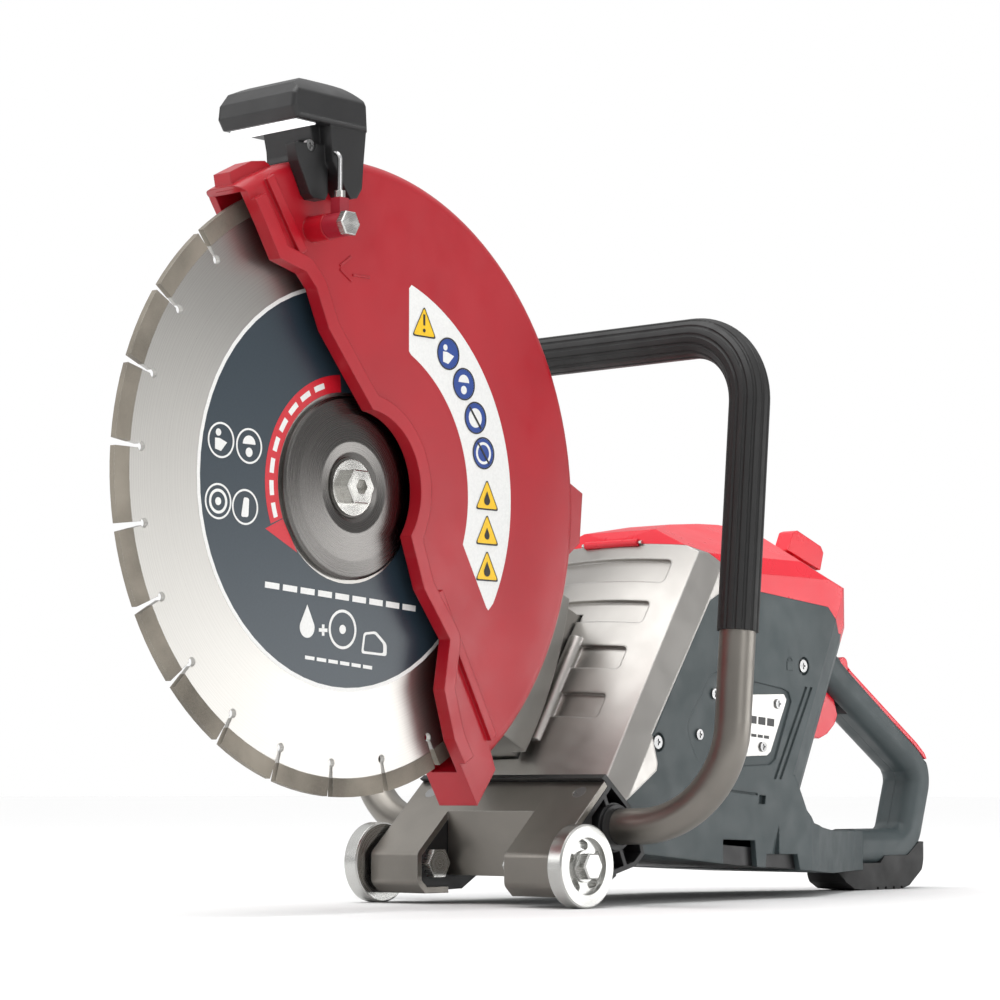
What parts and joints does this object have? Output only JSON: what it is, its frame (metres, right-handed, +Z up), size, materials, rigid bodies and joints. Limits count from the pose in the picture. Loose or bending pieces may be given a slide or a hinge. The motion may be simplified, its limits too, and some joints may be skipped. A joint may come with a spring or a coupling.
{
  "type": "rescue saw",
  "caption": "Battery rescue cut-off saw with a diamond blade, swinging guard, front loop handle, rear handle and guide wheels.",
  "frame": {"origin": "middle of the overall box, at floor level", "axes": "+X to the saw's left side, where the blade and guard are, -Y forwards to the blade, +Z up"},
  "size_m": [0.3282, 0.8216, 0.47],
  "materials": {
    "guard_red": "satin",
    "lid_red": "glossy",
    "housing_slate": "fine texture",
    "cast_aluminium": "cast, fine grain",
    "cover_aluminium": "blasted satin",
    "grip_black": "moulded, fine grain",
    "base_black": "moulded",
    "rubber_black": "matt",
    "tube_paint": "satin",
    "blade_steel": "turned satin",
    "segment_grit": "gritty",
    "flange_steel": "satin",
    "bright_steel": "turned",
    "zinc_steel": "zinc plated",
    "pulley_aluminium": "turned",
    "screw_steel": "plated",
    "elbow_grey": "moulded",
    "pipe_steel": "polished",
    "lens_clear": "clear",
    "stator_iron": "laminated",
    "board_green": "resin",
    "plate_silver": "brushed"
  },
  "bodies": {
    "body": {"housing_left": "housing_slate", "housing_right": "housing_slate", "handle_left": "housing_slate", "handle_right": "housing_slate", "arm_housing": "cast_aluminium", "arm_cover": "cast_aluminium", "motor_case": "cast_aluminium", "front_cover": "cover_aluminium", "battery_pack": "grip_black", "base_tray": "base_black", "wheel_bracket": "base_black", "trigger_switch": "base_black", "handle_sleeve": "rubber_black", "rubber_foot": "rubber_black", "drive_belt": "rubber_black", "handle_tube": "tube_paint", "wheel_plate": "tube_paint", "guard_ring": "flange_steel", "spindle_bearings": "bright_steel", "motor_bearings": "bright_steel", "lid_hinge_pin": "bright_steel", "handle_pins": "bright_steel", "axle_bolts": "zinc_steel", "axle_nuts": "zinc_steel", "guard_ring_screws": "screw_steel", "arm_cover_screws": "screw_steel", "housing_screws": "screw_steel", "panel_screws": "screw_steel", "nameplate_screws": "screw_steel", "handle_screws": "screw_steel", "plate_screws": "screw_steel", "motor_stator": "stator_iron", "controller_board": "board_green", "nameplates": "plate_silver"},
    "blade": {"blade_disc": "blade_steel", "blade_segments": "segment_grit", "inner_flange": "flange_steel", "outer_flange": "flange_steel", "arbor_washer": "bright_steel", "arbor_bolt": "bright_steel", "spindle": "bright_steel", "spindle_pulley": "pulley_aluminium", "spindle_nut": "bright_steel"},
    "rotor": {"motor_rotor": "bright_steel", "motor_pulley": "pulley_aluminium", "cooling_fan": "grip_black"},
    "wheel_left": {"wheel_left": "zinc_steel"},
    "wheel_right": {"wheel_right": "zinc_steel"},
    "guard": {"guard_shell": "guard_red", "lamp_grip": "grip_black", "lamp_lens": "lens_clear", "grip_screw": "screw_steel", "water_bolt": "zinc_steel", "water_elbow": "elbow_grey", "water_ferrule": "bright_steel", "water_pipe": "pipe_steel"},
    "trigger": {"trigger": "lid_red"},
    "lock": {"lock_lever": "lid_red"},
    "lid": {"top_lid": "lid_red"},
    "latch": {"lid_latch": "lid_red"}
  },
  "joints": [
    {"name": "blade_spin", "type": "hinge", "parent": "body", "child": "blade", "pos_m": [0, -0.237, 0.241], "axis": [1, 0, 0], "continuous": true},
    {"name": "motor_spin", "type": "hinge", "parent": "body", "child": "rotor", "pos_m": [0, 0.06, 0.132], "axis": [1, 0, 0], "continuous": true},
    {"name": "wheel_left_spin", "type": "hinge", "parent": "body", "child": "wheel_left", "pos_m": [0, -0.072, 0.025], "axis": [1, 0, 0], "continuous": true},
    {"name": "wheel_right_spin", "type": "hinge", "parent": "body", "child": "wheel_right", "pos_m": [0, -0.072, 0.025], "axis": [1, 0, 0], "continuous": true},
    {"name": "guard_swing", "type": "hinge", "parent": "body", "child": "guard", "pos_m": [0, -0.237, 0.241], "axis": [1, 0, 0], "range_deg": [-35, 25]},
    {"name": "trigger_pull", "type": "hinge", "parent": "body", "child": "trigger", "pos_m": [0, 0.284, 0.151], "axis": [1, 0, 0], "range_deg": [0, 14], "stiffness_Nm_per_rad": 0.3, "springref_deg": -8.59},
    {"name": "lock_lever_press", "type": "hinge", "parent": "body", "child": "lock", "pos_m": [0, 0.302, 0.158], "axis": [-1, 0, 0], "range_deg": [0, 1.6], "stiffness_Nm_per_rad": 3, "springref_deg": -2.86},
    {"name": "lid_open", "type": "hinge", "parent": "body", "child": "lid", "pos_m": [0, 0.0606, 0.2294], "axis": [1, 0, 0], "range_deg": [0, 70]},
    {"name": "latch_slide", "type": "slide", "parent": "lid", "child": "latch", "axis": [0, 0.9537, -0.3008], "range_m": [0, 0.006], "stiffness_N_per_m": 300, "springref_m": -0.004}
  ],
  "couplings": [
    {"joint": "motor_spin", "follows": "blade_spin", "ratio": 2.0323}
  ]
}
